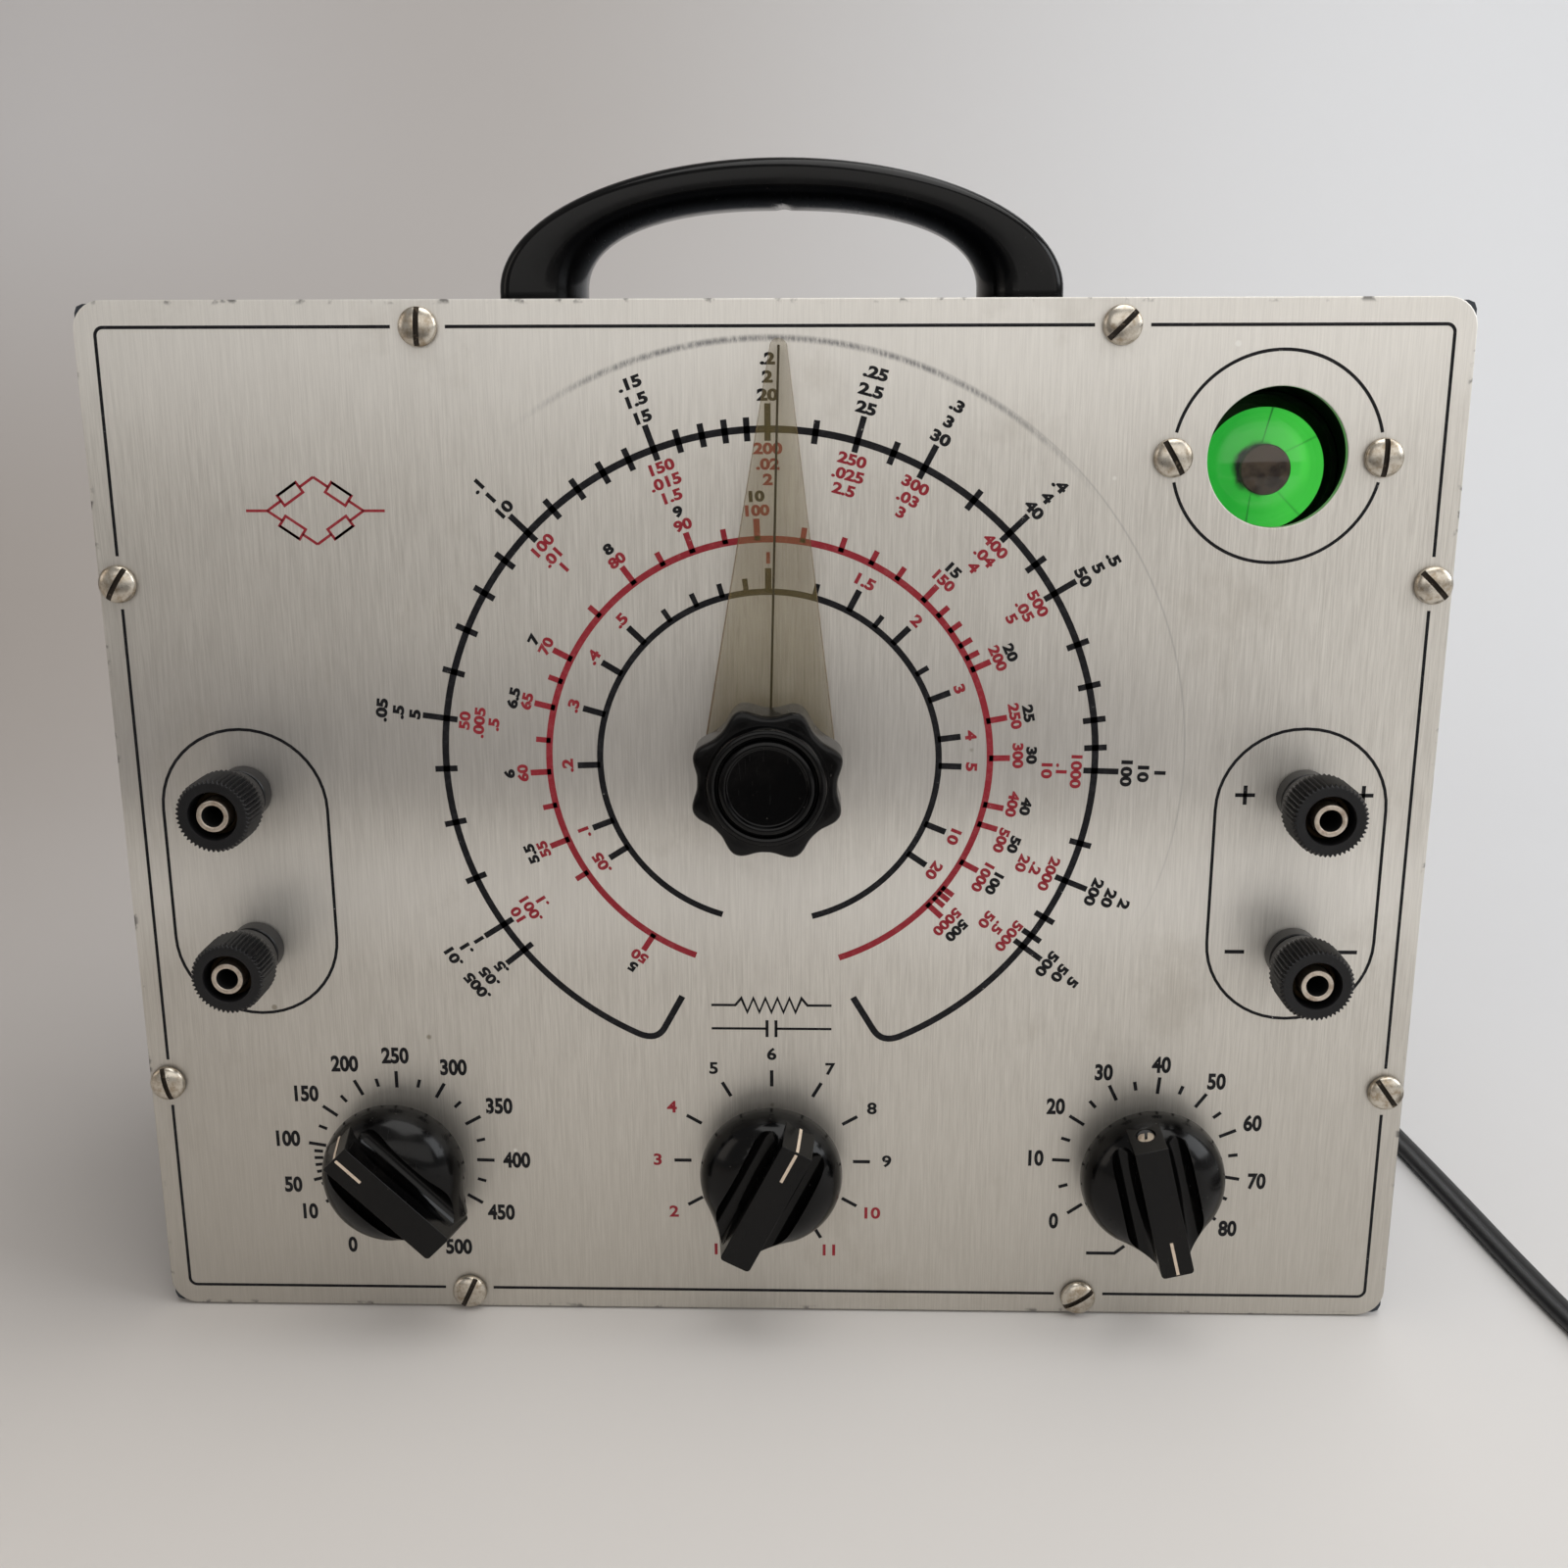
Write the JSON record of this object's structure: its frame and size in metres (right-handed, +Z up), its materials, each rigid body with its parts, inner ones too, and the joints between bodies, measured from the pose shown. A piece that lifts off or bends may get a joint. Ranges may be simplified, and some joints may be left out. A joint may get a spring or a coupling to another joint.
{
  "type": "capacitance bridge",
  "caption": "Bench capacitance bridge with a large dial and pointer, bar knobs, binding posts, a glowing tuning eye, an arched handle and a mains cord.",
  "frame": {"origin": "middle of the cabinet's bottom face, where it rests on the bench", "axes": "+Z up, -Y out of the front panel, +X to the right as the panel is faced"},
  "size_m": [0.4088, 0.2518, 0.2343],
  "materials": {
    "panel": "satin, brushed upright",
    "cabinet": "satin enamel",
    "bakelite": "polished",
    "post_plastic": "moulded satin",
    "amber": "clear",
    "nickel": "aged nickel plate",
    "steel": "turned",
    "brass": "turned",
    "shroud": "flat black",
    "glass": "clear",
    "glow": "glowing coating",
    "eye_cap": "dark grey brown",
    "brown": "moulded",
    "zinc": "zinc plate",
    "fibre": "laminated board",
    "varnish": "satin black",
    "aluminium": "drawn can",
    "rubber": "satin black"
  },
  "bodies": {
    "instrument": {"front_panel": "panel", "cabinet": "cabinet", "chassis": "zinc", "carrying_handle": "bakelite", "handle_screw_left": "steel", "handle_screw_right": "steel", "panel_screw_top_left": "nickel", "panel_screw_top_right": "nickel", "panel_screw_side_left_upper": "nickel", "panel_screw_side_left_lower": "nickel", "panel_screw_side_right_upper": "nickel", "panel_screw_side_right_lower": "nickel", "panel_screw_bottom_left": "nickel", "panel_screw_bottom_right": "nickel", "eye_screw_left": "nickel", "eye_screw_right": "nickel", "eye_shroud": "shroud", "eye_glass": "glass", "eye_target": "glow", "eye_cap": "eye_cap", "eye_base": "brown", "eye_socket": "brown", "bridge_potentiometer": "fibre", "voltage_potentiometer": "zinc", "range_switch": "fibre", "power_factor_switched_potentiometer": "zinc", "post_left_upper_insulator": "post_plastic", "post_left_upper_stud": "nickel", "post_left_lower_insulator": "post_plastic", "post_left_lower_stud": "nickel", "post_right_upper_insulator": "post_plastic", "post_right_upper_stud": "nickel", "post_right_lower_insulator": "post_plastic", "post_right_lower_stud": "nickel", "power_transformer": "varnish", "rectifier_tube": "glass", "filter_capacitor": "aluminium", "cord_grommet": "rubber", "power_cord": "rubber", "cord_coil": "rubber", "plug": "rubber"},
    "main_dial": {"dial_knob": "bakelite", "dial_pointer": "amber", "dial_shaft": "steel"},
    "voltage_control": {"voltage_knob": "bakelite", "voltage_shaft": "steel"},
    "range_control": {"range_knob": "bakelite", "range_shaft": "steel"},
    "power_factor_control": {"power_factor_knob": "bakelite", "power_factor_shaft": "steel"},
    "post_left_upper_sleeve": {"post_left_upper_liner": "brass"},
    "post_left_upper_grip": {"post_left_upper_cap": "post_plastic"},
    "post_left_lower_sleeve": {"post_left_lower_liner": "brass"},
    "post_left_lower_grip": {"post_left_lower_cap": "post_plastic"},
    "post_right_upper_sleeve": {"post_right_upper_liner": "brass"},
    "post_right_upper_grip": {"post_right_upper_cap": "post_plastic"},
    "post_right_lower_sleeve": {"post_right_lower_liner": "brass"},
    "post_right_lower_grip": {"post_right_lower_cap": "post_plastic"}
  },
  "joints": [
    {"name": "dial_turn", "type": "hinge", "parent": "instrument", "child": "main_dial", "pos_m": [0, -0.0603, 0.1184], "axis": [0, 1, 0], "range_deg": [-146, 144]},
    {"name": "voltage_turn", "type": "hinge", "parent": "instrument", "child": "voltage_control", "pos_m": [-0.0762, -0.0603, 0.0343], "axis": [0, 1, 0], "range_deg": [-105, 195]},
    {"name": "range_turn", "type": "hinge", "parent": "instrument", "child": "range_control", "pos_m": [0, -0.0603, 0.0343], "axis": [0, 1, 0], "range_deg": [-180, 120]},
    {"name": "power_factor_turn", "type": "hinge", "parent": "instrument", "child": "power_factor_control", "pos_m": [0.0762, -0.0603, 0.0343], "axis": [0, 1, 0], "range_deg": [-330, 0]},
    {"name": "post_left_upper_travel", "type": "slide", "parent": "instrument", "child": "post_left_upper_sleeve", "axis": [0, -1, 0], "range_m": [0, 0.0045]},
    {"name": "post_left_upper_unscrew", "type": "hinge", "parent": "post_left_upper_sleeve", "child": "post_left_upper_grip", "pos_m": [-0.102, -0.0603, 0.112], "axis": [0, -1, 0], "range_deg": [0, 1800]},
    {"name": "post_left_lower_travel", "type": "slide", "parent": "instrument", "child": "post_left_lower_sleeve", "axis": [0, -1, 0], "range_m": [0, 0.0045]},
    {"name": "post_left_lower_unscrew", "type": "hinge", "parent": "post_left_lower_sleeve", "child": "post_left_lower_grip", "pos_m": [-0.102, -0.0603, 0.0802], "axis": [0, -1, 0], "range_deg": [0, 1800]},
    {"name": "post_right_upper_travel", "type": "slide", "parent": "instrument", "child": "post_right_upper_sleeve", "axis": [0, -1, 0], "range_m": [0, 0.0045]},
    {"name": "post_right_upper_unscrew", "type": "hinge", "parent": "post_right_upper_sleeve", "child": "post_right_upper_grip", "pos_m": [0.102, -0.0603, 0.112], "axis": [0, -1, 0], "range_deg": [0, 1800]},
    {"name": "post_right_lower_travel", "type": "slide", "parent": "instrument", "child": "post_right_lower_sleeve", "axis": [0, -1, 0], "range_m": [0, 0.0045]},
    {"name": "post_right_lower_unscrew", "type": "hinge", "parent": "post_right_lower_sleeve", "child": "post_right_lower_grip", "pos_m": [0.102, -0.0603, 0.0802], "axis": [0, -1, 0], "range_deg": [0, 1800]}
  ],
  "couplings": [
    {"joint": "post_left_upper_unscrew", "follows": "post_left_upper_travel", "rad_per_m": 6981.3},
    {"joint": "post_left_lower_unscrew", "follows": "post_left_lower_travel", "rad_per_m": 6981.3},
    {"joint": "post_right_upper_unscrew", "follows": "post_right_upper_travel", "rad_per_m": 6981.3},
    {"joint": "post_right_lower_unscrew", "follows": "post_right_lower_travel", "rad_per_m": 6981.3}
  ]
}
